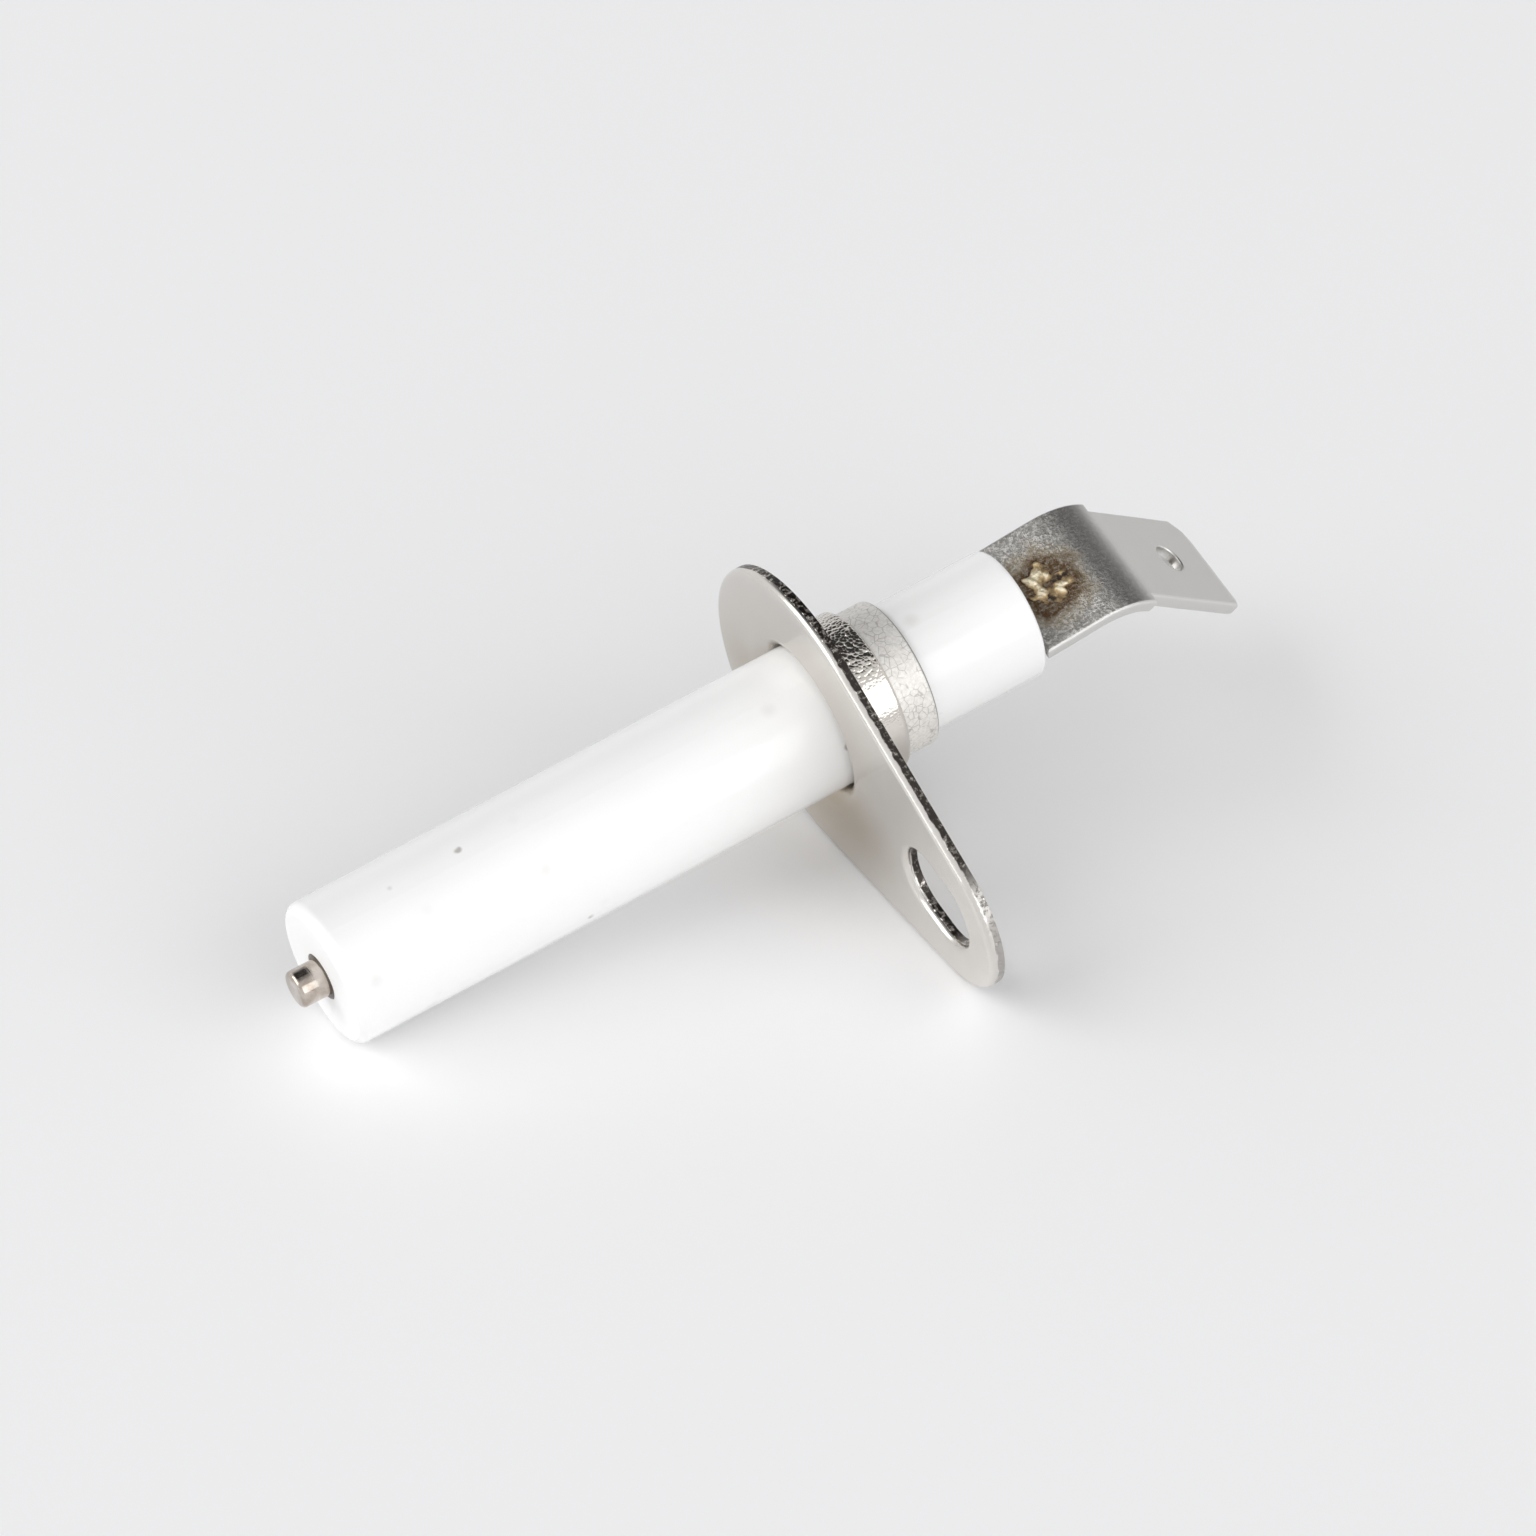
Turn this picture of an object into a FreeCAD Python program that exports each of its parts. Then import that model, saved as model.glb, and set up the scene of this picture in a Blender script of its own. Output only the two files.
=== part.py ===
import FreeCAD, Part
import math
import os

# Ignition electrode of a gas burner: a stepped ceramic insulator with a spark rod through it, held by a
# pressed sheet flange, and a flat push-on terminal welded to the rod's tail.
#
# Frame: the origin is where the insulator's axis crosses the flange's front (seating) face.
# +X runs along the insulator to the spark tip, +Y to the flange's screw ear, +Z to the side of the rod
# that the terminal is welded on. Lengths are in millimetres.

# ---- driving dimensions ------------------------------------------------------------------------------

SHEET = 0.8                    # flange and terminal are pressed from the same thickness of sheet

INSULATOR_FRONT_D = 8.2        # the longer, thicker part in front of the step
INSULATOR_REAR_D = 7.4         # the part behind the step
INSULATOR_FRONT_LENGTH = 29.6  # flange face to the front end
INSULATOR_REAR_LENGTH = 12.9   # flange face to the rear end
INSULATOR_FRONT_ROUND = 0.6    # edge round at the front end
INSULATOR_REAR_ROUND = 0.25    # edge round at the rear end

ROD_D = 2.1
ROD_TIP_LENGTH = 1.65          # bare rod in front of the insulator
ROD_TIP_ROUND = 0.25
ROD_TAIL_SETBACK = 0.1         # the rod's tail stops this far in front of the terminal's bend
ROD_BORE_GAP = 0.28            # radial gap between the rod and the insulator's bore

CEMENT_D = 3.8                 # counterbore at the insulator's rear end, filled with cement
CEMENT_DEPTH = 3.0

COLLAR_WALL = 0.45             # the collar is drawn out of the sheet, so its wall is thinner
COLLAR_GAP = 0.05              # radial gap between the collar and the insulator
COLLAR_STEP = 3.8              # flange face to the collar's step
COLLAR_LENGTH = 5.8            # flange face to the collar's end
COLLAR_MOUTH_ROUND = 1.0       # rolled mouth on the front face, where the sheet turns into the collar
COLLAR_ROOT_ROUND = 0.2        # outside, where the collar leaves the flange's back face
COLLAR_STEP_ROUND = 0.25
COLLAR_END_ROUND = 0.15        # outer edge of the collar's end

FLANGE_RADIUS = 8.8            # round part of the flange, centred on the insulator
EAR_RADIUS = 4.85              # round end of the screw ear
EAR_OFFSET = 13.3              # insulator axis to the ear radius's centre
SLOT_OFFSET = 12.75            # insulator axis to the slot's centre
SLOT_LENGTH = 6.0
SLOT_WIDTH = 4.6
FLANGE_EDGE_ROUND = 0.35       # rolled edge that the punch leaves on the front face

BLADE_WIDTH = 6.3              # standard push-on blade
BLADE_LENGTH = 9.0             # straight part behind the bend
BLADE_CORNER_EAR_SIDE = 0.5    # corner cut at the blade's end, on the side of the flange's ear
BLADE_CORNER_FAR_SIDE = 1.3    # corner cut on the other side
BLADE_BEVEL_LENGTH = 0.7       # lead-in bevel on both faces at the blade's end
BLADE_BEVEL_DEPTH = 0.2
BLADE_SLOPE_DEG = 45.0         # the blade slopes down from the axis by this much
BLADE_BEND_RADIUS = 3.6        # inside radius of the bend
DETENT_D = 1.8                 # hole that the push-on connector's bump drops into
DETENT_FROM_END = 4.2
PAD_WIDTH = 7.3                # the terminal's welded part, wider than the blade
PAD_LENGTH = 3.5               # straight part in front of the bend
PAD_TILT_DEG = 6.5             # it climbs away from the axis by this much, and so does the rod's flat
PAD_HEIGHT = 0.18              # axis to the underside of its front edge
PAD_GAP = 0.12                 # insulator's rear end to the terminal

WELD_FROM_PAD_START = 2.08     # the welded part's front edge to the weld's centre
WELD_HOLE_D = 1.8              # hole in the terminal that the weld fills
WELD_CAP_D = 2.6
WELD_CAP_HEIGHT = 0.25
WELD_GAP = 0.02                # keeps the weld clear of the hole's wall

# ---- sizes that follow from them ---------------------------------------------------------------------

front_radius = INSULATOR_FRONT_D / 2
rear_radius = INSULATOR_REAR_D / 2
front_end = INSULATOR_FRONT_LENGTH
rear_end = -INSULATOR_REAR_LENGTH
rod_radius = ROD_D / 2
rod_tail_length = PAD_GAP + PAD_LENGTH - ROD_TAIL_SETBACK   # bare rod under the terminal
cement_radius = CEMENT_D / 2
collar_front_bore = front_radius + COLLAR_GAP
collar_rear_bore = rear_radius + COLLAR_GAP
step_face = -(COLLAR_STEP - COLLAR_WALL)   # the insulator's step rests on this face inside the collar
bend_deg = PAD_TILT_DEG + BLADE_SLOPE_DEG

AXIS_X = FreeCAD.Vector(1, 0, 0)
AXIS_Y = FreeCAD.Vector(0, 1, 0)
AXIS_Z = FreeCAD.Vector(0, 0, 1)
ORIGIN = FreeCAD.Vector(0, 0, 0)

# The terminal and its weld are made in a frame of their own: its origin is the middle of the welded
# part's lower front edge, +X runs forward along that part and +Z is square to it.
PAD_FRAME = FreeCAD.Placement(FreeCAD.Vector(rear_end - PAD_GAP, 0, PAD_HEIGHT),
                              FreeCAD.Rotation(AXIS_Y, PAD_TILT_DEG))


# ---- helpers -----------------------------------------------------------------------------------------

def rod_along_x(radius, start, end):
    """Solid cylinder on the X axis from start to end."""
    return Part.makeCylinder(radius, end - start, FreeCAD.Vector(start, 0, 0), AXIS_X)


def turned_about_x(outline):
    """Solid turned about the X axis from a closed outline of (x, radius) corners."""
    corners = [FreeCAD.Vector(x, radius, 0) for x, radius in outline]
    face = Part.Face(Part.makePolygon(corners + corners[:1]))
    return face.revolve(ORIGIN, AXIS_X, 360)


def edges_at(shape, x, radius):
    """Circular edges of a turned shape with this position along X and this radius."""
    found = []
    for edge in shape.Edges:
        if not isinstance(edge.Curve, Part.Circle):
            continue
        if abs(edge.Curve.Center.x - x) < 1e-6 and abs(edge.Curve.Radius - radius) < 1e-6:
            found.append(edge)
    return found


def edges_on_plane(shape, x):
    """Edges that lie wholly in the plane square to X at this position."""
    return [edge for edge in shape.Edges
            if abs(edge.BoundBox.XMin - x) < 1e-6 and abs(edge.BoundBox.XMax - x) < 1e-6]


def stadium(length, width, centre_y):
    """Closed face in the YZ plane: a slot outline with round ends, long along Y."""
    radius = width / 2
    reach = (length - width) / 2
    low = FreeCAD.Vector(0, centre_y - reach, 0)
    high = FreeCAD.Vector(0, centre_y + reach, 0)
    up = AXIS_Z * radius
    out = AXIS_Y * radius
    outline = [
        Part.makeLine(low + up, high + up),
        Part.Arc(high + up, high + out, high - up).toShape(),
        Part.makeLine(high - up, low - up),
        Part.Arc(low - up, low - out, low + up).toShape(),
    ]
    return Part.Face(Part.Wire(outline))


def pear():
    """Closed face in the YZ plane: the flange's round part, its ear and the straight sides between."""
    slope = math.acos((FLANGE_RADIUS - EAR_RADIUS) / EAR_OFFSET)
    side = FreeCAD.Vector(0, math.cos(slope), math.sin(slope))
    mirrored = FreeCAD.Vector(0, side.y, -side.z)
    ear = AXIS_Y * EAR_OFFSET
    outline = [
        Part.makeLine(side * FLANGE_RADIUS, ear + side * EAR_RADIUS),
        Part.Arc(ear + side * EAR_RADIUS, ear + AXIS_Y * EAR_RADIUS, ear + mirrored * EAR_RADIUS).toShape(),
        Part.makeLine(ear + mirrored * EAR_RADIUS, mirrored * FLANGE_RADIUS),
        Part.Arc(mirrored * FLANGE_RADIUS, AXIS_Y * -FLANGE_RADIUS, side * FLANGE_RADIUS).toShape(),
    ]
    return Part.Face(Part.Wire(outline))


# ---- pieces ------------------------------------------------------------------------------------------

def ceramic_insulator():
    """Stepped tube with a through-bore for the rod and a counterbore for the cement."""
    body = rod_along_x(front_radius, step_face, front_end)
    body = body.fuse(rod_along_x(rear_radius, rear_end, step_face)).removeSplitter()
    body = body.makeFillet(INSULATOR_FRONT_ROUND, edges_at(body, front_end, front_radius))
    body = body.makeFillet(INSULATOR_REAR_ROUND, edges_at(body, rear_end, rear_radius))
    bore = rod_along_x(rod_radius + ROD_BORE_GAP, rear_end, front_end)
    counterbore = rod_along_x(cement_radius, rear_end, rear_end + CEMENT_DEPTH)
    return body.cut(bore).cut(counterbore)


def bore_cement():
    """Ring of cement that fixes the rod in the insulator's counterbore."""
    ring = rod_along_x(cement_radius, rear_end, rear_end + CEMENT_DEPTH)
    return ring.cut(rod_along_x(rod_radius, rear_end, rear_end + CEMENT_DEPTH))


def electrode_rod():
    """Round rod from the spark tip to the tail, with a flat on the tail for the terminal."""
    tip = front_end + ROD_TIP_LENGTH
    tail = rear_end - rod_tail_length
    rod = rod_along_x(rod_radius, tail, tip)
    rod = rod.makeFillet(ROD_TIP_ROUND, edges_at(rod, tip, rod_radius))
    above = Part.makeBox(rod_tail_length * 2, ROD_D * 2, ROD_D,
                         FreeCAD.Vector(PAD_GAP / 2 - rod_tail_length * 2, -ROD_D, 0))
    above.Placement = PAD_FRAME.multiply(above.Placement)
    return rod.cut(above)


def collar():
    """Stepped tube drawn out of the flange, with the rolled mouth cut into its front end."""
    front_outside = collar_front_bore + COLLAR_WALL
    rear_outside = collar_rear_bore + COLLAR_WALL
    mouth_radius = collar_front_bore + COLLAR_MOUTH_ROUND
    skirt = mouth_radius + SHEET
    tube = turned_about_x([
        (0, collar_front_bore),
        (0, skirt),
        (-SHEET, skirt),
        (-SHEET, front_outside),
        (-COLLAR_STEP, front_outside),
        (-COLLAR_STEP, rear_outside),
        (-COLLAR_LENGTH, rear_outside),
        (-COLLAR_LENGTH, collar_rear_bore),
        (step_face, collar_rear_bore),
        (step_face, collar_front_bore),
    ])
    tube = tube.makeFillet(COLLAR_ROOT_ROUND, edges_at(tube, -SHEET, front_outside))
    tube = tube.makeFillet(COLLAR_STEP_ROUND, edges_at(tube, -COLLAR_STEP, front_outside))
    tube = tube.makeFillet(COLLAR_END_ROUND, edges_at(tube, -COLLAR_LENGTH, rear_outside))
    return tube.makeFillet(COLLAR_MOUTH_ROUND, edges_at(tube, 0, collar_front_bore))


def mounting_flange():
    """Pressed sheet flange with a slotted ear and the drawn collar that grips the insulator."""
    sheet = pear().extrude(AXIS_X * -SHEET)
    slot = stadium(SLOT_LENGTH, SLOT_WIDTH, SLOT_OFFSET).extrude(AXIS_X * -SHEET)
    sheet = sheet.cut(slot)
    sheet = sheet.makeFillet(FLANGE_EDGE_ROUND, edges_on_plane(sheet, 0))
    opening = rod_along_x(collar_front_bore + COLLAR_MOUTH_ROUND + SHEET / 2, -SHEET, 0)
    return sheet.cut(opening).fuse(collar()).removeSplitter()


def terminal_profile():
    """Side outline of the terminal in the XZ plane: welded part, bend and blade with a bevelled end."""
    turn = math.radians(bend_deg)
    outer = BLADE_BEND_RADIUS + SHEET
    centre = FreeCAD.Vector(-PAD_LENGTH, 0, SHEET - outer)

    def around(radius, angle):
        return centre + FreeCAD.Vector(-math.sin(angle), 0, math.cos(angle)) * radius

    along = FreeCAD.Vector(-math.cos(turn), 0, -math.sin(turn))
    across = FreeCAD.Vector(-math.sin(turn), 0, math.cos(turn))
    top = around(outer, turn)
    under = around(BLADE_BEND_RADIUS, turn)
    bevelled = along * (BLADE_LENGTH - BLADE_BEVEL_LENGTH)
    end = along * BLADE_LENGTH
    bevel = across * BLADE_BEVEL_DEPTH
    pad_top = AXIS_Z * SHEET
    outline = [
        Part.makeLine(ORIGIN, pad_top),
        Part.makeLine(pad_top, around(outer, 0)),
        Part.Arc(around(outer, 0), around(outer, turn / 2), top).toShape(),
        Part.makeLine(top, top + bevelled),
        Part.makeLine(top + bevelled, top + end - bevel),
        Part.makeLine(top + end - bevel, under + end + bevel),
        Part.makeLine(under + end + bevel, under + bevelled),
        Part.makeLine(under + bevelled, under),
        Part.Arc(under, around(BLADE_BEND_RADIUS, turn / 2), around(BLADE_BEND_RADIUS, 0)).toShape(),
        Part.makeLine(around(BLADE_BEND_RADIUS, 0), ORIGIN),
    ]
    return Part.Face(Part.Wire(outline))


def blade_placement():
    """Frame on the blade's middle plane: X forward along the blade from the bend's end, Z its top normal."""
    turn = math.radians(bend_deg)
    middle = BLADE_BEND_RADIUS + SHEET / 2
    base = FreeCAD.Vector(-PAD_LENGTH - middle * math.sin(turn), 0,
                          SHEET / 2 - middle * (1 - math.cos(turn)))
    return FreeCAD.Placement(base, FreeCAD.Rotation(AXIS_Y, -bend_deg))


def blade_cutters():
    """Everything taken off the blade: shoulders and corner cuts on both sides, and the detent hole."""
    deep = SHEET * 4
    half = BLADE_WIDTH / 2
    clear = PAD_WIDTH / 2 + SHEET
    beyond = -BLADE_LENGTH - SHEET
    cutters = []
    for side, corner in ((1, BLADE_CORNER_EAR_SIDE), (-1, BLADE_CORNER_FAR_SIDE)):
        outline = [
            FreeCAD.Vector(0, side * half, 0),
            FreeCAD.Vector(corner - BLADE_LENGTH, side * half, 0),
            FreeCAD.Vector(-BLADE_LENGTH, side * (half - corner), 0),
            FreeCAD.Vector(beyond, side * (half - corner), 0),
            FreeCAD.Vector(beyond, side * clear, 0),
            FreeCAD.Vector(0, side * clear, 0),
        ]
        face = Part.Face(Part.makePolygon(outline + outline[:1]))
        face.translate(AXIS_Z * (-deep / 2))
        cutters.append(face.extrude(AXIS_Z * deep))
    hole_centre = FreeCAD.Vector(DETENT_FROM_END - BLADE_LENGTH, 0, -deep / 2)
    cutters.append(Part.makeCylinder(DETENT_D / 2, deep, hole_centre, AXIS_Z))
    for cutter in cutters:
        cutter.Placement = blade_placement().multiply(cutter.Placement)
    return cutters


def terminal_tab():
    """Bent push-on terminal, with a hole that the weld fills."""
    profile = terminal_profile()
    profile.translate(AXIS_Y * (-PAD_WIDTH / 2))
    tab = profile.extrude(AXIS_Y * PAD_WIDTH)
    for cutter in blade_cutters():
        tab = tab.cut(cutter)
    weld_foot = AXIS_X * -WELD_FROM_PAD_START
    tab = tab.cut(Part.makeCylinder(WELD_HOLE_D / 2, SHEET, weld_foot, AXIS_Z))
    tab.Placement = PAD_FRAME
    return tab


def weld_nugget():
    """Plug of weld metal from the rod's flat up through the terminal, with a low domed cap."""
    weld_foot = AXIS_X * -WELD_FROM_PAD_START
    weld_top = weld_foot + AXIS_Z * SHEET
    plug = Part.makeCylinder(WELD_HOLE_D / 2 - WELD_GAP, SHEET, weld_foot, AXIS_Z)
    cap_radius = WELD_CAP_D / 2
    dome_radius = (cap_radius ** 2 + WELD_CAP_HEIGHT ** 2) / (2 * WELD_CAP_HEIGHT)
    dome = Part.makeSphere(dome_radius, weld_top + AXIS_Z * (WELD_CAP_HEIGHT - dome_radius))
    disc = Part.makeCylinder(cap_radius * 2, WELD_CAP_HEIGHT * 2, weld_top, AXIS_Z)
    weld = plug.fuse(dome.common(disc)).removeSplitter()
    weld.Placement = PAD_FRAME
    return weld


def main():
    pieces = {
        "ceramic_insulator": ceramic_insulator(),
        "electrode_rod": electrode_rod(),
        "bore_cement": bore_cement(),
        "mounting_flange": mounting_flange(),
        "terminal_tab": terminal_tab(),
        "weld_nugget": weld_nugget(),
    }
    os.makedirs("parts", exist_ok=True)
    for name, shape in pieces.items():
        if len(shape.Solids) != 1 or not shape.isValid():
            raise ValueError(name + " is not one valid solid")
        shape.Solids[0].exportStep("parts/" + name + ".step")


main()
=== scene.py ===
import math

import bmesh
import bpy
from mathutils import Matrix, Vector, noise


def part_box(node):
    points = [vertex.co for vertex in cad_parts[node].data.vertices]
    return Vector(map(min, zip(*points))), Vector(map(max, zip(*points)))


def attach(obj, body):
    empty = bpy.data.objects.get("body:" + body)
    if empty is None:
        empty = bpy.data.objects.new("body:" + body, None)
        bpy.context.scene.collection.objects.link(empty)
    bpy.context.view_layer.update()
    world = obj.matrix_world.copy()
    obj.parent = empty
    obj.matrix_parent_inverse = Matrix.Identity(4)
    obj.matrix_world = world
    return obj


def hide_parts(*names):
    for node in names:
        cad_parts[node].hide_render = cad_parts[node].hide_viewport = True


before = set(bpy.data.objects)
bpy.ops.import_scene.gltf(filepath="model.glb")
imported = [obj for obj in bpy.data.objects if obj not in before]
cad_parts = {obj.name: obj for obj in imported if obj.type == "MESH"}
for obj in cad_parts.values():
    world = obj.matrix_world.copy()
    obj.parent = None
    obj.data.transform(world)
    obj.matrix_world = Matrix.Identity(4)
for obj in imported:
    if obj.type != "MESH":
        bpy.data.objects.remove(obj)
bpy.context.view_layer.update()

# Ignition electrode of a gas burner, lying on a pale table. Lengths are in metres, in the part's frame:
# +X runs along the insulator to the spark tip, +Y to the flange's slotted ear, and the flange's front
# face is at X = 0. Textures are laid out in millimetres.

MM = 0.001

# ---- sizes of the part ---------------------------------------------------------------------------------

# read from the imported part
insulator_low, insulator_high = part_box("ceramic_insulator")
flange_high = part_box("mounting_flange")[1]
terminal_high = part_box("terminal_tab")[1]

front_radius = insulator_high[2]
front_end = insulator_high[0]
flange_radius = flange_high[2]

# repeated from the part's source
EAR_RADIUS = 4.85 * MM           # round end of the flange's ear
SHEET = 0.8 * MM
PAD_TILT = math.radians(6.5)     # the terminal's welded part climbs away from the insulator's axis
PAD_HEIGHT = 0.18 * MM           # axis to the underside of its front edge
PAD_GAP = 0.12 * MM              # insulator's rear end to that edge
PAD_LENGTH = 3.5 * MM            # straight part in front of the bend
BEND_RADIUS = 3.6 * MM           # inside
BLADE_SLOPE = math.radians(45)
BLADE_LENGTH = 9.0 * MM
BLADE_WIDTH = 6.3 * MM
BLADE_CORNER_EAR_SIDE = 0.5 * MM
BLADE_CORNER_FAR_SIDE = 1.3 * MM
BLADE_BEVEL = 0.7 * MM           # the blade thins to half over this length at its end
DETENT_RADIUS = 0.9 * MM
DETENT_FROM_END = 4.2 * MM
WELD_FROM_PAD_START = 2.08 * MM

# the weld's ragged cap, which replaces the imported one
WELD_SPREAD = 1.15 * MM          # mean radius
WELD_HEIGHT = 0.24 * MM
WELD_ASIDE = 0.25 * MM           # the cap has run towards the ear's side

# places that the textures go by, in millimetres
COLLAR_REACH = 5.2               # the collar is nearer to the insulator's axis than this
COLLAR_STEP_X = -3.8             # the collar narrows here
COLLAR_END_X = -5.8
BEND_END_X = -20.1               # the terminal's bend ends and its blade begins here
EAR_WORN_Y = 13.8                # the torn edge grows fainter from here towards the ear's end
FAR_WORN_Y = -7.2                # and from here towards the flange's far side

bend_turn = PAD_TILT + BLADE_SLOPE
bend_length = (BEND_RADIUS + SHEET / 2) * bend_turn
blank_length = PAD_LENGTH + bend_length + BLADE_LENGTH
pad_front = Vector((insulator_low[0] - PAD_GAP, 0, PAD_HEIGHT))
pad_up = Vector((math.sin(PAD_TILT), 0, math.cos(PAD_TILT)))
pad_back = Vector((-math.cos(PAD_TILT), 0, math.sin(PAD_TILT)))
weld_centre = pad_front + pad_back * WELD_FROM_PAD_START + pad_up * SHEET + Vector((0, WELD_ASIDE, 0))

# ---- places in the studio ------------------------------------------------------------------------------

CAMERA_BEARING = 58.96           # degrees round the upright, from the spark tip's side towards the ear
CAMERA_ELEVATION = 39.6          # degrees above the table
CAMERA_DISTANCE = 0.4485
CAMERA_LENS = 200.0              # millimetres, as the sensor's width
CAMERA_SENSOR = 36.0
CAMERA_TARGET = Vector((3.19 * MM, 1.45 * MM, 0))

SOFTBOX_DISTANCE = 2.2
SOFTBOX_WIDTH = 2.1
SOFTBOX_HEIGHT = 1.7

ROOM = (0.97, 0.97, 0.98)
CEILING = (0.05, 0.05, 0.05)
AMBIENT = 0.90
CEILING_BEARING = 172.0          # from the camera's bearing
CEILING_ELEVATION = 57.0
CEILING_RIM = 0.66               # cosine of the angle from the ceiling's middle where it begins to darken
CEILING_FULL = 0.90              # and where it is fully dark

TABLE_RADIUS = 0.16
TABLE_SOLID = 0.10               # the table is solid this far out, then fades into the background
TABLE_RINGS = 8
TABLE_SPOKES = 96
RIM_BACK = 0.5 * MM              # the insulator rests on its front rim, this far behind its end


def table_upright():
    """Unit normal of the table, which touches the insulator's front rim and the flange's straight side."""
    ear_offset = flange_high[1] - EAR_RADIUS
    side_y = (flange_radius - EAR_RADIUS) / ear_offset
    side_z = math.sqrt(1 - side_y ** 2)
    pitch = math.asin((flange_radius - front_radius) / (front_end - RIM_BACK))
    return Vector((-math.sin(pitch), -side_y * math.cos(pitch), side_z * math.cos(pitch)))


upright = table_upright()
table_height = -flange_radius * math.sqrt(1 - upright.x ** 2)
along = (Vector((1, 0, 0)) - upright * upright.x).normalized()
across = upright.cross(along)


# ---- materials -----------------------------------------------------------------------------------------

class Finish:
    """A material's nodes, with short calls for the ones used here. Positions are in millimetres."""

    def __init__(self, name):
        self.material = bpy.data.materials.new(name)
        self.material.use_nodes = True
        self.nodes = self.material.node_tree.nodes
        self.links = self.material.node_tree.links
        self.shader = self.nodes["Principled BSDF"]
        coordinates = self.nodes.new("ShaderNodeTexCoord").outputs["Object"]
        scale = self.nodes.new("ShaderNodeVectorMath")
        scale.operation = "SCALE"
        scale.inputs["Scale"].default_value = 1 / MM
        self.links.new(coordinates, scale.inputs[0])
        self.place = scale.outputs[0]
        self.normal = self.nodes.new("ShaderNodeNewGeometry").outputs["True Normal"]

    def feed(self, socket, value):
        """Links a socket to another node's output, or sets it to a plain value."""
        if isinstance(value, bpy.types.NodeSocket):
            self.links.new(value, socket)
        elif isinstance(value, (tuple, list)) and len(value) == 3 and socket.type == "RGBA":
            socket.default_value = (*value, 1.0)
        else:
            socket.default_value = value

    def stretched(self, factors):
        """The position, with each axis multiplied: a small factor draws the pattern out along that axis."""
        node = self.nodes.new("ShaderNodeVectorMath")
        node.operation = "MULTIPLY"
        self.feed(node.inputs[0], self.place)
        node.inputs[1].default_value = factors
        return node.outputs[0]

    def noise(self, scale, detail=3.0, roughness=0.5, place=None):
        node = self.nodes.new("ShaderNodeTexNoise")
        self.feed(node.inputs["Vector"], place or self.place)
        node.inputs["Scale"].default_value = scale
        node.inputs["Detail"].default_value = detail
        node.inputs["Roughness"].default_value = roughness
        return node.outputs["Fac"]

    def cells(self, scale, feature="F1"):
        """Distance from the middle of the nearest cell, or with DISTANCE_TO_EDGE from its edge."""
        node = self.nodes.new("ShaderNodeTexVoronoi")
        node.feature = feature
        self.feed(node.inputs["Vector"], self.place)
        node.inputs["Scale"].default_value = scale
        return node.outputs["Distance"]

    def between(self, value, low, high, start=0.0, end=1.0):
        """Smooth ramp: start where value is at or under low, end where it is at or over high."""
        node = self.nodes.new("ShaderNodeMapRange")
        node.interpolation_type = "SMOOTHSTEP"
        self.feed(node.inputs["Value"], value)
        node.inputs["From Min"].default_value = low
        node.inputs["From Max"].default_value = high
        node.inputs["To Min"].default_value = start
        node.inputs["To Max"].default_value = end
        return node.outputs["Result"]

    def math(self, operation, first, second=0.0):
        node = self.nodes.new("ShaderNodeMath")
        node.operation = operation
        self.feed(node.inputs[0], first)
        self.feed(node.inputs[1], second)
        return node.outputs[0]

    def times(self, first, second):
        return self.math("MULTIPLY", first, second)

    def axis(self, vector, letter):
        node = self.nodes.new("ShaderNodeSeparateXYZ")
        self.feed(node.inputs[0], vector)
        return node.outputs[letter]

    def facing(self, letter):
        """How squarely the surface faces along an axis, either way: 0 edge-on, 1 full-on."""
        return self.math("ABSOLUTE", self.axis(self.normal, letter))

    def reach(self, centre):
        """Distance from a point, in millimetres."""
        node = self.nodes.new("ShaderNodeVectorMath")
        node.operation = "DISTANCE"
        self.feed(node.inputs[0], self.place)
        node.inputs[1].default_value = [c / MM for c in centre]
        return node.outputs["Value"]

    def off_axis(self):
        """Distance from the insulator's axis, in millimetres."""
        flat = self.nodes.new("ShaderNodeVectorMath")
        flat.operation = "LENGTH"
        self.feed(flat.inputs[0], self.stretched((0, 1, 1)))
        return flat.outputs["Value"]

    def height(self, base, direction):
        """Height above a plane through base, square to a direction, in millimetres."""
        node = self.nodes.new("ShaderNodeVectorMath")
        node.operation = "DOT_PRODUCT"
        self.feed(node.inputs[0], self.place)
        node.inputs[1].default_value = direction
        return self.math("SUBTRACT", node.outputs["Value"], base.dot(direction) / MM)

    def mix(self, factor, first, second):
        """Colour that goes from first to second with factor."""
        node = self.nodes.new("ShaderNodeMix")
        node.data_type = "RGBA"
        self.feed(node.inputs["Factor"], factor)
        self.feed(node.inputs[6], first)
        self.feed(node.inputs[7], second)
        return node.outputs[2]

    def blend(self, factor, first, second):
        """Number that goes from first to second with factor."""
        node = self.nodes.new("ShaderNodeMix")
        self.feed(node.inputs["Factor"], factor)
        self.feed(node.inputs[2], first)
        self.feed(node.inputs[3], second)
        return node.outputs[0]

    def bump(self, height, depth, below=None):
        """Bumps of this depth in millimetres, laid over the ones below."""
        node = self.nodes.new("ShaderNodeBump")
        node.inputs["Strength"].default_value = 1.0
        node.inputs["Distance"].default_value = depth * MM
        self.feed(node.inputs["Height"], height)
        if below is not None:
            self.feed(node.inputs["Normal"], below)
        return node.outputs["Normal"]

    def finish(self, **sockets):
        """Feeds the shader's own sockets, named with underscores for spaces."""
        for name, value in sockets.items():
            self.feed(self.shader.inputs[name.replace("_", " ")], value)
        return self.material


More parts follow.
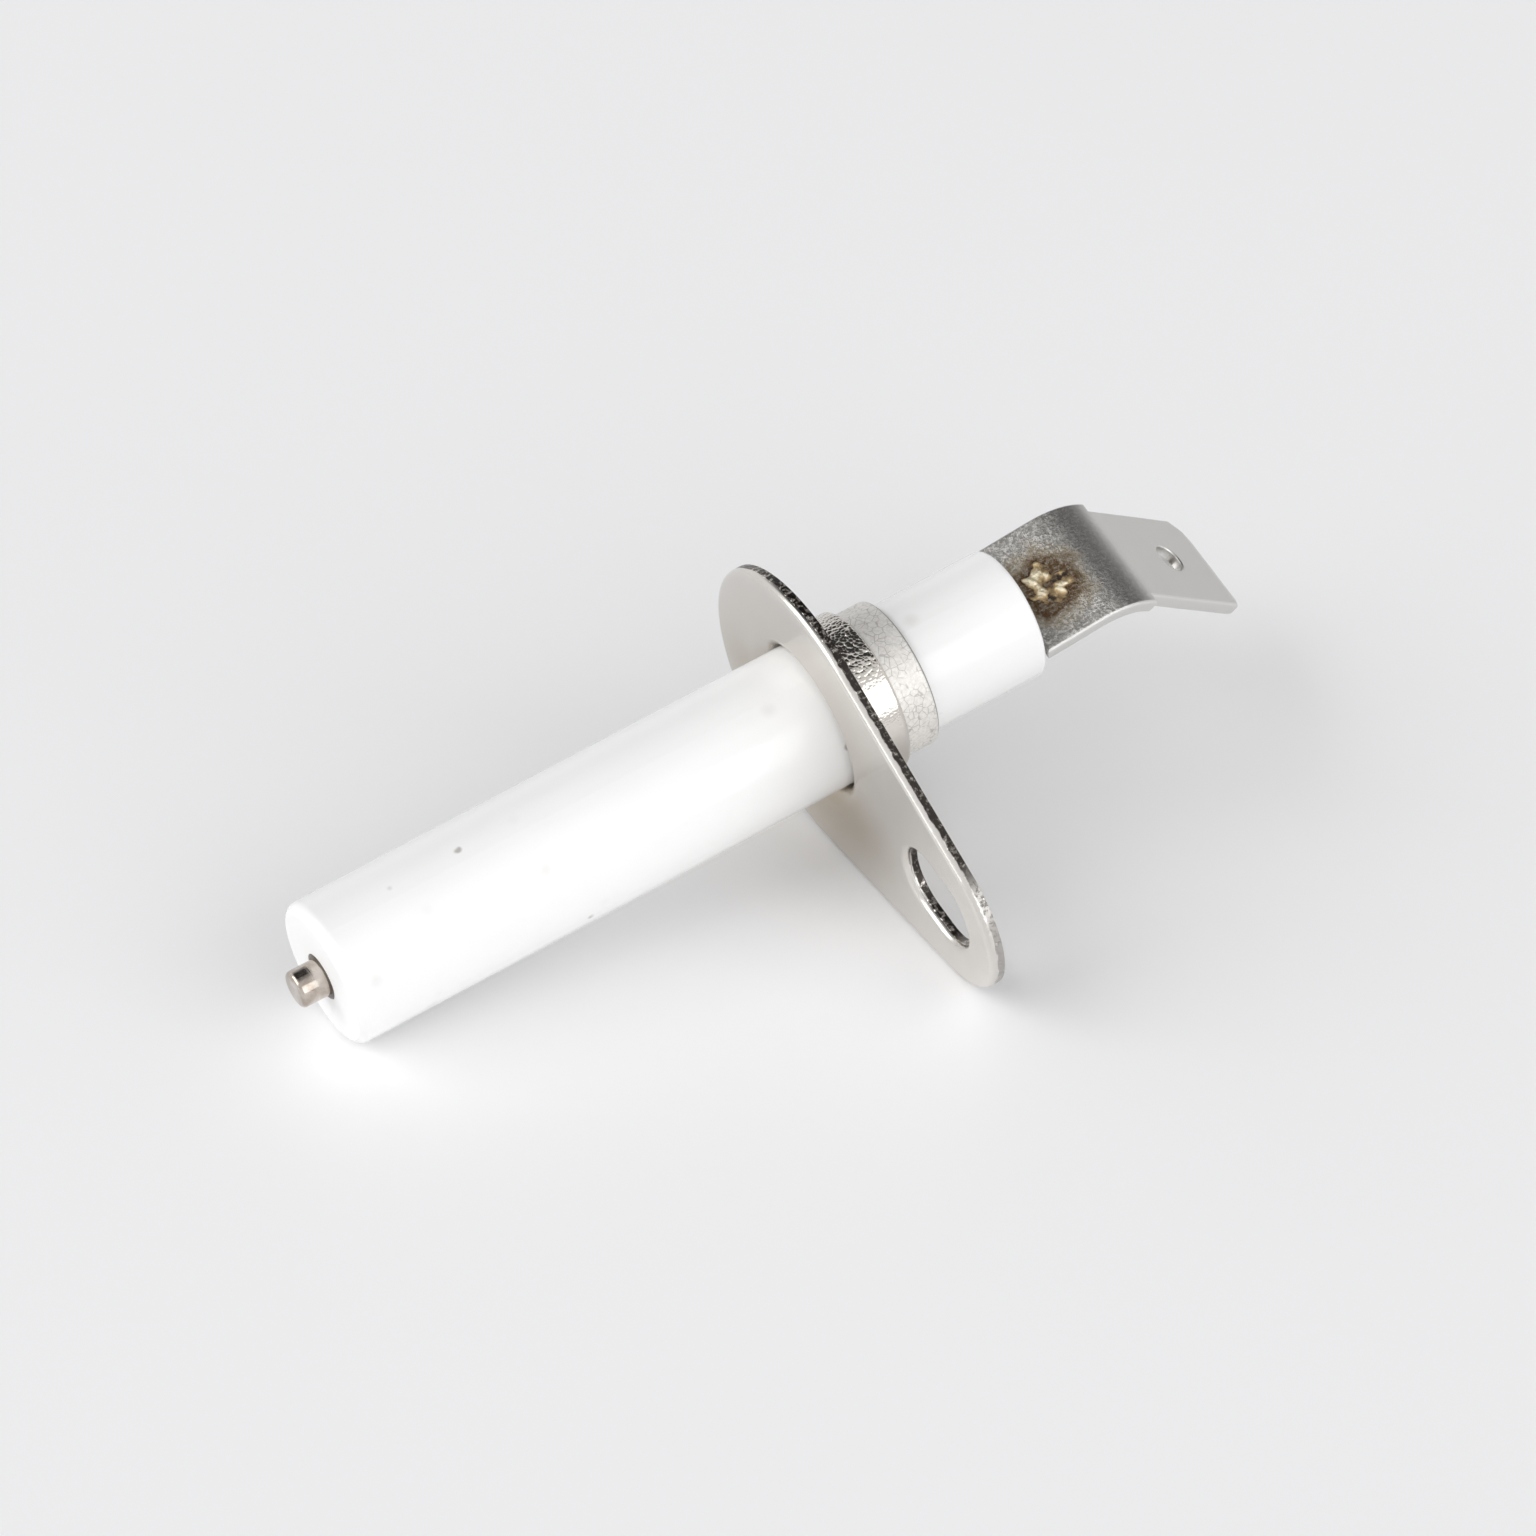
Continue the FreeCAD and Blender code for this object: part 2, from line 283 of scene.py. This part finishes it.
def glazed_ceramic():
    """White glaze with a few specks and smudges, dull on its two end faces."""
    skin = Finish("glazed_ceramic")
    warm_white, white = (0.90, 0.897, 0.888), (0.935, 0.935, 0.932)
    speck_grey, smudge_grey = (0.50, 0.48, 0.46), (0.60, 0.58, 0.56)
    cloud = skin.noise(0.12, detail=2.0)
    colour = skin.mix(cloud, warm_white, white)
    speck = skin.between(skin.cells(0.42), 0.05, 0.13, 1.0, 0.0)
    smudge = skin.between(skin.cells(0.23), 0.0, 0.16, 0.35, 0.0)
    chosen = skin.between(skin.noise(0.33, detail=1.0), 0.52, 0.6)
    colour = skin.mix(skin.times(speck, chosen), colour, speck_grey)
    colour = skin.mix(smudge, colour, smudge_grey)
    end_face = skin.between(skin.facing("X"), 0.85, 0.97)
    roughness = skin.blend(end_face, skin.between(cloud, 0.3, 0.7, 0.18, 0.25), 0.5)
    waves = skin.bump(skin.noise(0.35, detail=2.0, place=skin.stretched((0.4, 1, 1))), 0.05)
    grain = skin.bump(skin.noise(9.0, detail=4.0), 0.003, waves)
    return skin.finish(Base_Color=colour, Roughness=roughness, Normal=grain, IOR=1.65)


def drawn_rod():
    """Browned steel, with drawing lines along it and faint rings round it."""
    skin = Finish("drawn_rod")
    steel, brown = (0.62, 0.57, 0.52), (0.40, 0.34, 0.29)
    lines = skin.noise(6.0, detail=4.0, place=skin.stretched((0.12, 1, 1)))
    rings = skin.noise(5.0, detail=3.0, place=skin.stretched((1, 0.1, 0.1)))
    stain = skin.noise(1.3, detail=5.0)
    colour = skin.mix(skin.between(stain, 0.35, 0.7), steel, brown)
    roughness = skin.between(skin.math("ADD", lines, rings), 0.7, 1.3, 0.08, 0.2)
    grooves = skin.bump(lines, 0.008)
    marks = skin.bump(rings, 0.005, grooves)
    return skin.finish(Base_Color=colour, Metallic=1.0, Roughness=roughness, Normal=marks)


def cement():
    skin = Finish("cement")
    grain = skin.noise(5.0, detail=6.0, roughness=0.65)
    colour = skin.mix(skin.between(grain, 0.35, 0.65), (0.55, 0.51, 0.45), (0.80, 0.77, 0.71))
    pits = skin.bump(grain, 0.08)
    return skin.finish(Base_Color=colour, Roughness=0.9, Normal=pits)


def torn_edge(skin, colour, roughness, normal):
    """Dull band low on the sheet's cut edges, where the punch tore the metal instead of shearing it."""
    black, grey = (0.055, 0.048, 0.043), (0.52, 0.48, 0.44)
    x = skin.axis(skin.place, "X")
    y = skin.axis(skin.place, "Y")
    across_sheet = skin.between(skin.facing("X"), 0.2, 0.45, 1.0, 0.0)
    off_collar = skin.between(skin.off_axis(), COLLAR_REACH - 0.1, COLLAR_REACH + 0.1)
    ear_worn = skin.between(y, EAR_WORN_Y, EAR_WORN_Y + 2.0, 1.0, 0.4)
    far_worn = skin.between(y, FAR_WORN_Y - 1.6, FAR_WORN_Y, 0.4, 1.0)
    wander = skin.times(skin.noise(1.6, detail=4.0), 0.3)
    deep = skin.between(skin.math("ADD", x, wander), -0.28, -0.20, 1.0, 0.0)
    torn = skin.times(skin.times(across_sheet, off_collar), deep)
    flakes = skin.between(skin.noise(3.4, detail=5.0, roughness=0.7), 0.50, 0.64)
    scale = skin.mix(flakes, black, grey)
    colour = skin.mix(skin.times(torn, skin.times(ear_worn, far_worn)), colour, scale)
    roughness = skin.blend(torn, roughness, skin.between(flakes, 0.0, 1.0, 0.35, 0.22))
    return colour, roughness, skin.bump(skin.times(flakes, torn), 0.05, normal)


def collar_zones(skin):
    """Masks for the drawn collar: in front of its step, and behind it."""
    x = skin.axis(skin.place, "X")
    collar = skin.between(skin.off_axis(), COLLAR_REACH - 0.1, COLLAR_REACH + 0.1, 1.0, 0.0)
    collar = skin.times(collar, skin.between(x, -1.0, -0.8, 1.0, 0.0))
    wander = skin.times(skin.noise(1.1, detail=2.0), 0.5)
    edge = skin.math("SUBTRACT", x, wander)
    behind = skin.between(edge, COLLAR_STEP_X - 0.35, COLLAR_STEP_X - 0.15, 1.0, 0.0)
    frosted = skin.times(collar, behind)
    return skin.math("SUBTRACT", collar, frosted), frosted


def stretched_collar(skin, colour, roughness, normal):
    """Drawing has grained the collar: like orange peel up to its step, frosted and crazed behind it."""
    frost_dark, frost_pale = (0.76, 0.735, 0.70), (0.89, 0.87, 0.835)
    crack = (0.22, 0.20, 0.18)
    peeled, frosted = collar_zones(skin)
    pits = skin.cells(4.8)
    domes = skin.math("SUBTRACT", 1.0, skin.times(pits, pits))
    craze = skin.between(skin.cells(2.4, feature="DISTANCE_TO_EDGE"), 0.0, 0.07, 0.5, 0.0)
    craze = skin.times(craze, skin.between(skin.noise(1.3), 0.35, 0.55))
    rim = skin.between(skin.axis(skin.place, "X"), COLLAR_END_X + 0.05, COLLAR_END_X + 0.14, 0.9, 0.0)
    craze = skin.math("MAXIMUM", craze, rim)
    grain = skin.noise(5.0, detail=4.0, roughness=0.7)
    pale = skin.mix(skin.between(grain, 0.35, 0.65), frost_dark, frost_pale)
    colour = skin.mix(frosted, colour, skin.mix(craze, pale, crack))
    roughness = skin.blend(peeled, roughness, 0.08)
    roughness = skin.blend(frosted, roughness, 0.50)
    uneven = skin.between(skin.axis(skin.place, "Y"), 0.3, 2.2, 1.0, 0.2)
    domes = skin.times(skin.times(domes, peeled), uneven)
    normal = skin.bump(domes, 0.06, normal)
    normal = skin.bump(skin.times(grain, frosted), 0.02, normal)
    return colour, skin.blend(frosted, 1.0, 0.45), roughness, normal


def pressed_plate():
    """Satin nickel plate with painted warm shade round the insulator, strongest on its lower side, with
    torn cut edges and a stretched collar.
    """
    skin = Finish("pressed_plate")
    nickel, dark_nickel = (0.76, 0.735, 0.70), (0.67, 0.645, 0.61)
    painted_shade_brown = (0.44, 0.37, 0.27)
    cloud = skin.noise(0.5, detail=3.0)
    fine = skin.noise(14.0, detail=4.0)
    colour = skin.mix(cloud, nickel, dark_nickel)
    # painted shade: warm brown darkening near the insulator, strongest on the flange's lower side, stands
    # in for the shaded table that it reflects there
    near = skin.between(skin.math("ADD", skin.off_axis(), cloud), 4.8, 11.5, 0.8, 0.0)
    low = skin.between(skin.axis(skin.place, "Z"), -3.5, 1.5, 1.0, 0.25)
    colour = skin.mix(skin.times(near, low), colour, painted_shade_brown)
    roughness = skin.between(fine, 0.3, 0.7, 0.19, 0.26)
    normal = skin.bump(skin.noise(1.2, detail=2.0), 0.01)
    colour, roughness, normal = torn_edge(skin, colour, roughness, normal)
    colour, metal, roughness, normal = stretched_collar(skin, colour, roughness, normal)
    satin = skin.bump(fine, 0.002, normal)
    return skin.finish(Base_Color=colour, Metallic=metal, Roughness=roughness, Normal=satin)


def heat_tint(skin, colour):
    """Oxide colours round the weld over a metal colour: a mottled brown ring with a straw fringe."""
    straw_tint, brown_tint = (0.40, 0.33, 0.22), (0.10, 0.055, 0.025)
    wobble = skin.times(skin.math("SUBTRACT", skin.noise(0.8, detail=4.0), 0.5), 2.0)
    away = skin.math("ADD", skin.reach(weld_centre), wobble)
    mottle = skin.between(skin.noise(4.0, detail=4.0, roughness=0.7), 0.38, 0.58, 0.5, 1.0)
    straw = skin.times(skin.between(away, 1.8, 3.0, 0.8, 0.0), mottle)
    brown = skin.times(skin.between(away, 1.5, 2.3, 0.95, 0.0), mottle)
    colour = skin.mix(straw, colour, straw_tint)
    return skin.mix(brown, colour, brown_tint)


def frosted_metal(skin, frost, x):
    """Colour of the sheet where the weld's heat reached: flaked and patchy, with a painted dark reflection
    along the bend.
    """
    flake_dark, flake_pale = (0.30, 0.29, 0.275), (0.76, 0.74, 0.71)
    patch, painted_bend_reflection = (0.42, 0.41, 0.39), (0.20, 0.19, 0.18)
    flakes = skin.between(frost, 0.44, 0.62)
    patches = skin.between(skin.noise(0.9, detail=3.0), 0.35, 0.65, 0.0, 0.5)
    colour = skin.mix(flakes, flake_dark, flake_pale)
    colour = skin.mix(patches, colour, patch)
    # painted reflection: a dark band along the bend stands in for the dark ceiling that the bent sheet
    # reflects
    from_bend_line = skin.math("ABSOLUTE", skin.math("SUBTRACT", x, BEND_END_X + 1.2))
    return skin.mix(skin.between(from_bend_line, 0.5, 2.0, 0.8, 0.0), colour, painted_bend_reflection)


def plated_terminal():
    """Plated sheet, frosted where the weld's heat reached and plain on the blade."""
    skin = Finish("plated_terminal")
    plate_dark, plate_pale, cut_metal = (0.54, 0.525, 0.50), (0.62, 0.605, 0.585), (0.74, 0.73, 0.71)
    x = skin.axis(skin.place, "X")
    side_wall = skin.between(skin.facing("Y"), 0.3, 0.8)
    heated = skin.between(x, BEND_END_X - 0.2, BEND_END_X + 1.6)
    heated = skin.times(heated, skin.math("SUBTRACT", 1.0, side_wall))
    cloud = skin.noise(0.6, detail=4.0)
    frost = skin.noise(4.6, detail=5.0, roughness=0.75)
    colour = skin.mix(cloud, plate_dark, plate_pale)
    colour = heat_tint(skin, skin.mix(heated, colour, frosted_metal(skin, frost, x)))
    colour = skin.mix(side_wall, colour, cut_metal)
    plain = skin.between(cloud, 0.3, 0.7, 0.28, 0.36)
    roughness = skin.blend(heated, plain, skin.between(frost, 0.35, 0.65, 0.42, 0.28))
    lines = skin.noise(5.0, detail=3.0, place=skin.stretched((0.15, 1, 0.15)))
    rolled = skin.bump(lines, 0.006)
    frosted = skin.bump(skin.times(frost, heated), 0.09, rolled)
    return skin.finish(Base_Color=colour, Metallic=1.0, Roughness=roughness, Normal=frosted)


def weld_metal():
    """Splashed weld metal: bright straw on its crests, black-brown scale in its hollows."""
    skin = Finish("weld_metal")
    black, brown = (0.05, 0.035, 0.025), (0.28, 0.20, 0.11)
    straw, bright = (0.50, 0.37, 0.20), (0.86, 0.77, 0.57)
    height = skin.height(weld_centre, pad_up)
    lumps = skin.noise(3.5, detail=5.0, roughness=0.65)
    crest = skin.math("ADD", height, skin.times(lumps, 0.14))
    scale = skin.mix(skin.between(skin.noise(2.2), 0.42, 0.58), black, brown)
    colour = skin.mix(skin.between(crest, 0.09, 0.14), scale, straw)
    colour = skin.mix(skin.between(crest, 0.14, 0.20), colour, bright)
    rough = skin.bump(lumps, 0.10)
    roughness = skin.between(crest, 0.1, 0.22, 0.55, 0.30)
    return skin.finish(Base_Color=colour, Metallic=0.7, Roughness=roughness, Normal=rough)


def pale_table():
    """Pale laminate that shows from above only and fades out at its rim."""
    skin = Finish("pale_table")
    cloud = skin.noise(0.03, detail=3.0)
    colour = skin.mix(cloud, (0.925, 0.925, 0.93), (0.945, 0.945, 0.95))
    skin.finish(Base_Color=colour, Roughness=0.45, Normal=skin.bump(skin.noise(1.5, detail=4.0), 0.004))
    clear = skin.nodes.new("ShaderNodeBsdfTransparent")
    blend = skin.nodes.new("ShaderNodeMixShader")
    side = skin.nodes.new("ShaderNodeNewGeometry").outputs["Backfacing"]
    rim = skin.between(skin.reach(upright * table_height), TABLE_SOLID / MM, TABLE_RADIUS / MM)
    skin.feed(blend.inputs[0], skin.math("MAXIMUM", side, rim))
    skin.feed(blend.inputs[1], skin.shader.outputs[0])
    skin.feed(blend.inputs[2], clear.outputs[0])
    skin.feed(skin.nodes["Material Output"].inputs["Surface"], blend.outputs[0])
    return skin.material


# ---- table, camera and light ---------------------------------------------------------------------------

def toward(bearing, elevation):
    """Unit vector at this bearing from the spark tip's side and this height above the table, in degrees."""
    flat = along * math.cos(math.radians(bearing)) + across * math.sin(math.radians(bearing))
    return flat * math.cos(math.radians(elevation)) + upright * math.sin(math.radians(elevation))


def aimed(position, direction):
    """World matrix at a position whose -Z axis looks along a direction, with the table's upright as up."""
    back = -direction.normalized()
    right = upright.cross(back).normalized()
    top = back.cross(right)
    turn = Matrix((right, top, back)).transposed()
    return Matrix.Translation(position) @ turn.to_4x4()


def add_camera():
    data = bpy.data.cameras.new("camera")
    data.lens = CAMERA_LENS
    data.sensor_width = CAMERA_SENSOR
    data.clip_start = 10 * MM
    camera = bpy.data.objects.new("camera", data)
    bpy.context.scene.collection.objects.link(camera)
    back = toward(CAMERA_BEARING, CAMERA_ELEVATION)
    camera.matrix_world = aimed(CAMERA_TARGET + back * CAMERA_DISTANCE, -back)
    bpy.context.scene.camera = camera


def softbox(name, bearing, elevation, watts):
    """Soft rectangular light at a bearing from the camera's, aimed at the part."""
    data = bpy.data.lights.new(name, "AREA")
    data.shape = "RECTANGLE"
    data.size = SOFTBOX_WIDTH
    data.size_y = SOFTBOX_HEIGHT
    data.energy = watts
    light = bpy.data.objects.new(name, data)
    light.visible_camera = False
    bpy.context.scene.collection.objects.link(light)
    back = toward(CAMERA_BEARING + bearing, elevation)
    light.matrix_world = aimed(back * SOFTBOX_DISTANCE, -back)


def disc_faces(rings, spokes):
    """Faces of rings of points round a middle point, number 0: a fan, then four-sided faces."""
    faces = [(0, 1 + spoke, 1 + (spoke + 1) % spokes) for spoke in range(spokes)]
    for ring in range(rings - 1):
        inner = 1 + ring * spokes
        outer = inner + spokes
        for spoke in range(spokes):
            following = (spoke + 1) % spokes
            faces.append((inner + spoke, outer + spoke, outer + following, inner + following))
    return faces


def add_table():
    """Round table top under the part, in rings so that it is not one flat polygon."""
    centre = upright * table_height
    points = [centre]
    for ring in range(1, TABLE_RINGS + 1):
        for spoke in range(TABLE_SPOKES):
            angle = 2 * math.pi * spoke / TABLE_SPOKES
            radius = TABLE_RADIUS * ring / TABLE_RINGS
            points.append(centre + (along * math.cos(angle) + across * math.sin(angle)) * radius)
    mesh = bpy.data.meshes.new("table")
    mesh.from_pydata(points, [], disc_faces(TABLE_RINGS, TABLE_SPOKES))
    table = bpy.data.objects.new("table", mesh)
    table.data.materials.append(pale_table())
    bpy.context.scene.collection.objects.link(table)


def add_surroundings():
    """Pale room round the table, with a dark ceiling behind it."""
    world = bpy.data.worlds.new("studio")
    world.use_nodes = True
    bpy.context.scene.world = world
    nodes = world.node_tree.nodes
    links = world.node_tree.links
    direction = nodes.new("ShaderNodeTexCoord").outputs["Generated"]
    ceiling = nodes.new("ShaderNodeVectorMath")
    ceiling.operation = "DOT_PRODUCT"
    ceiling.inputs[1].default_value = toward(CAMERA_BEARING + CEILING_BEARING, CEILING_ELEVATION)
    links.new(direction, ceiling.inputs[0])
    ramp = nodes.new("ShaderNodeValToRGB")
    links.new(ceiling.outputs["Value"], ramp.inputs[0])
    steps = ramp.color_ramp.elements
    steps[0].position = CEILING_RIM
    steps[0].color = (*ROOM, 1)
    steps[1].position = CEILING_FULL
    steps[1].color = (*CEILING, 1)
    links.new(ramp.outputs[0], nodes["Background"].inputs["Color"])
    nodes["Background"].inputs["Strength"].default_value = AMBIENT


# ---- pieces that replace plain solids ------------------------------------------------------------------

GRID = 0.25 * MM                 # spacing of the terminal's mesh along the sheet
TOP_ROUND = 0.2 * MM             # blanking rolls the sheet's top edges over this far
BREAK_OUT = 0.03 * MM            # and tears its lower edges back by this much
BREAK_SHARE = 0.3                # over this share of its thickness
HOLE_ROUND = 0.10 * MM
HOLE_BREAK_OUT = 0.25 * MM
HOLE_SPOKES = 40
ROUND_STEPS = 4                  # rings of points over a rolled edge
RIPPLE_HEIGHT = 0.012 * MM       # the sheet isn't quite flat
RIPPLE_SIZE = 2 * MM

WELD_RINGS = 28
WELD_SPOKES = 120
WELD_ARMS = 0.75                 # how far the cap's ragged rim reaches in and out, as a share of its radius
WELD_FRINGE = 0.3
WELD_ARM_START = Vector((0.3, 2.1, 0))       # picks one ragged rim out of the noise
WELD_CROWN = 0.45                # heights on the cap, as shares of its height
WELD_LUMPS = 1.1
WELD_GRAIN = 0.2
WELD_HOLLOW = -0.25
WELD_LUMP_SIZE = 0.7 * MM
WELD_GRAIN_SIZE = 0.2 * MM
WELD_LUMP_START = Vector((2.3, 9.7, 4.1))    # picks one set of lumps out of the noise
WELD_SUNK = 0.35 * SHEET         # the cap's rim reaches this far into the sheet


def add_piece(name, mesh, material, node):
    """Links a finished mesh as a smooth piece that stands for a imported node."""
    mesh.shade_smooth()
    mesh.set_sharp_from_angle(angle=math.radians(40))
    piece = bpy.data.objects.new(name, mesh)
    mesh.materials.append(material)
    bpy.context.scene.collection.objects.link(piece)
    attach(piece, "root")
    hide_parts(node)


def blank_corners():
    """Corners of the terminal's flat blank: back from the pad's front edge, and across."""
    pad = terminal_high[1]
    half = BLADE_WIDTH / 2
    shoulder = PAD_LENGTH + bend_length
    near, far = BLADE_CORNER_EAR_SIDE, BLADE_CORNER_FAR_SIDE
    return [
        (0, pad), (shoulder, pad), (shoulder, half), (blank_length - near, half),
        (blank_length, half - near), (blank_length, far - half), (blank_length - far, -half),
        (shoulder, -half), (shoulder, -pad), (0, -pad),
    ]


def divided(corners):
    """The closed outline with its sides divided into steps near the mesh's spacing."""
    points = []
    for (s, y), (end_s, end_y) in zip(corners, corners[1:] + corners[:1]):
        steps = max(1, round(math.dist((s, y), (end_s, end_y)) / GRID))
        for step in range(steps):
            share = step / steps
            points.append((s + (end_s - s) * share, y + (end_y - y) * share))
    return points


def inset(points, distance):
    """The closed outline moved towards its inside, which is on its right."""
    moved = []
    for index, (s, y) in enumerate(points):
        before = points[index - 1]
        after = points[(index + 1) % len(points)]
        first = Vector((s - before[0], y - before[1])).normalized()
        second = Vector((after[0] - s, after[1] - y)).normalized()
        inward = Vector((first.y + second.y, -first.x - second.x)).normalized()
        square = Vector((second.y, -second.x))
        reach = distance / max(0.5, inward.dot(square))
        moved.append((s + inward.x * reach, y + inward.y * reach))
    return moved


def edge_rings(top_round, break_out):
    """The sheet's cut edge from bottom to top: how far in and how high each ring of points is."""
    rings = [(break_out, 0.0), (0.0, SHEET * BREAK_SHARE), (0.0, SHEET - top_round)]
    for step in range(1, ROUND_STEPS + 1):
        angle = math.radians(90) * step / ROUND_STEPS
        rings.append((top_round * (1 - math.cos(angle)), SHEET - top_round + top_round * math.sin(angle)))
    return rings


def wall(mesh, points, top_round, break_out):
    """Walls of the sheet along a closed outline. Gives the bottom and top rings of vertices."""
    rings = []
    for inward, height in edge_rings(top_round, break_out):
        rings.append([mesh.verts.new((s, y, height)) for s, y in inset(points, inward)])
    for lower, upper in zip(rings, rings[1:]):
        for index in range(len(lower)):
            following = (index + 1) % len(lower)
            mesh.faces.new((lower[index], lower[following], upper[following], upper[index]))
    return rings[0], rings[-1]


def ring_edges(mesh, ring):
    return [mesh.edges.get((ring[index - 1], ring[index])) for index in range(len(ring))]


def detent_outline():
    """The detent hole's outline in the flat blank."""
    centre = blank_length - DETENT_FROM_END
    outline = []
    for spoke in range(HOLE_SPOKES):
        angle = 2 * math.pi * spoke / HOLE_SPOKES
        outline.append((centre + DETENT_RADIUS * math.cos(angle), DETENT_RADIUS * math.sin(angle)))
    return outline


def sliced(mesh):
    """Cuts the flat blank across at every step of the grid, so that it bends smoothly."""
    for cut in range(1, int(blank_length / GRID)):
        everything = mesh.verts[:] + mesh.edges[:] + mesh.faces[:]
        bmesh.ops.bisect_plane(mesh, geom=everything, dist=GRID / 50, plane_co=(cut * GRID, 0, 0),
                               plane_no=(1, 0, 0))


def bent(point):
    """Place on the finished terminal of a point of its flat blank."""
    s, y, height = point
    thin = max(0.0, s - (blank_length - BLADE_BEVEL)) / BLADE_BEVEL / 2
    height += (SHEET / 2 - height) * thin
    height += noise.noise(Vector((s, y, 0)) / RIPPLE_SIZE) * RIPPLE_HEIGHT
    if s <= PAD_LENGTH:
        back, up = s, height
    else:
        turn = min(bend_turn, (s - PAD_LENGTH) / (BEND_RADIUS + SHEET / 2))
        beyond = max(0.0, s - PAD_LENGTH - bend_length)
        radius = BEND_RADIUS + height
        back = PAD_LENGTH + radius * math.sin(turn) + beyond * math.cos(turn)
        up = radius * math.cos(turn) - BEND_RADIUS - beyond * math.sin(turn)
    return pad_front + pad_back * back + pad_up * up + Vector((0, y, 0))


def add_terminal(material):
    """The terminal as a pressed sheet: a flat blank with rolled edges and its detent hole, then bent."""
    mesh = bmesh.new()
    outer_bottom, outer_top = wall(mesh, divided(blank_corners()), TOP_ROUND, BREAK_OUT)
    hole_bottom, hole_top = wall(mesh, detent_outline(), HOLE_ROUND, HOLE_BREAK_OUT)
    for outer, inner in ((outer_bottom, hole_bottom), (outer_top, hole_top)):
        edges = ring_edges(mesh, outer) + ring_edges(mesh, inner)
        bmesh.ops.triangle_fill(mesh, use_beauty=True, edges=edges)
    sliced(mesh)
    bmesh.ops.recalc_face_normals(mesh, faces=mesh.faces[:])
    for vertex in mesh.verts:
        vertex.co = bent(vertex.co)
    data = bpy.data.meshes.new("terminal")
    mesh.to_mesh(data)
    mesh.free()
    add_piece("terminal", data, material, "terminal_tab")


def weld_surface(share, angle):
    """Point of the weld's splashed cap: share of the way out to its ragged rim, at an angle round it."""
    heading = Vector((math.cos(angle), math.sin(angle), 0))
    arms = WELD_ARMS * noise.noise(heading * 1.1 + WELD_ARM_START)
    fringe = WELD_FRINGE * noise.noise(heading * 2.9)
    spot = heading * (WELD_SPREAD * (1 + arms + fringe) * share)
    crown = WELD_CROWN * (1 - share ** 2.5)
    lumps = WELD_LUMPS * noise.noise(spot / WELD_LUMP_SIZE + WELD_LUMP_START)
    grain = WELD_GRAIN * noise.noise(spot / WELD_GRAIN_SIZE)
    rise = crown + (lumps + grain) * (1 - share ** 6)
    height = WELD_HEIGHT * max(WELD_HOLLOW, min(1.0, rise))
    return weld_centre + pad_back * spot.x + Vector((0, spot.y, 0)) + pad_up * height


def add_weld(material):
    """The weld's cap: a ragged, lumpy splash, closed underneath inside the sheet."""
    points = [weld_surface(0, 0)]
    for ring in range(1, WELD_RINGS + 1):
        for spoke in range(WELD_SPOKES):
            points.append(weld_surface(ring / WELD_RINGS, 2 * math.pi * spoke / WELD_SPOKES))
    points += [point - pad_up * WELD_SUNK for point in points[-WELD_SPOKES:]]
    underside = range(len(points) - WELD_SPOKES, len(points))
    faces = disc_faces(WELD_RINGS + 1, WELD_SPOKES) + [tuple(reversed(underside))]
    data = bpy.data.meshes.new("weld")
    data.from_pydata(points, [], faces)
    mesh = bmesh.new()
    mesh.from_mesh(data)
    bmesh.ops.recalc_face_normals(mesh, faces=mesh.faces[:])
    mesh.to_mesh(data)
    mesh.free()
    add_piece("weld", data, material, "weld_nugget")


def wear(node, material):
    """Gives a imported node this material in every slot."""
    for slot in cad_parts[node].material_slots:
        slot.material = material


add_camera()
add_surroundings()
add_table()
softbox("softbox_right", 47, 26, 14.0)
softbox("softbox_left", -76, 36, 22.0)
bpy.context.scene.view_settings.view_transform = "Standard"

wear("ceramic_insulator", glazed_ceramic())
wear("electrode_rod", drawn_rod())
wear("bore_cement", cement())
wear("mounting_flange", pressed_plate())
add_terminal(plated_terminal())
add_weld(weld_metal())
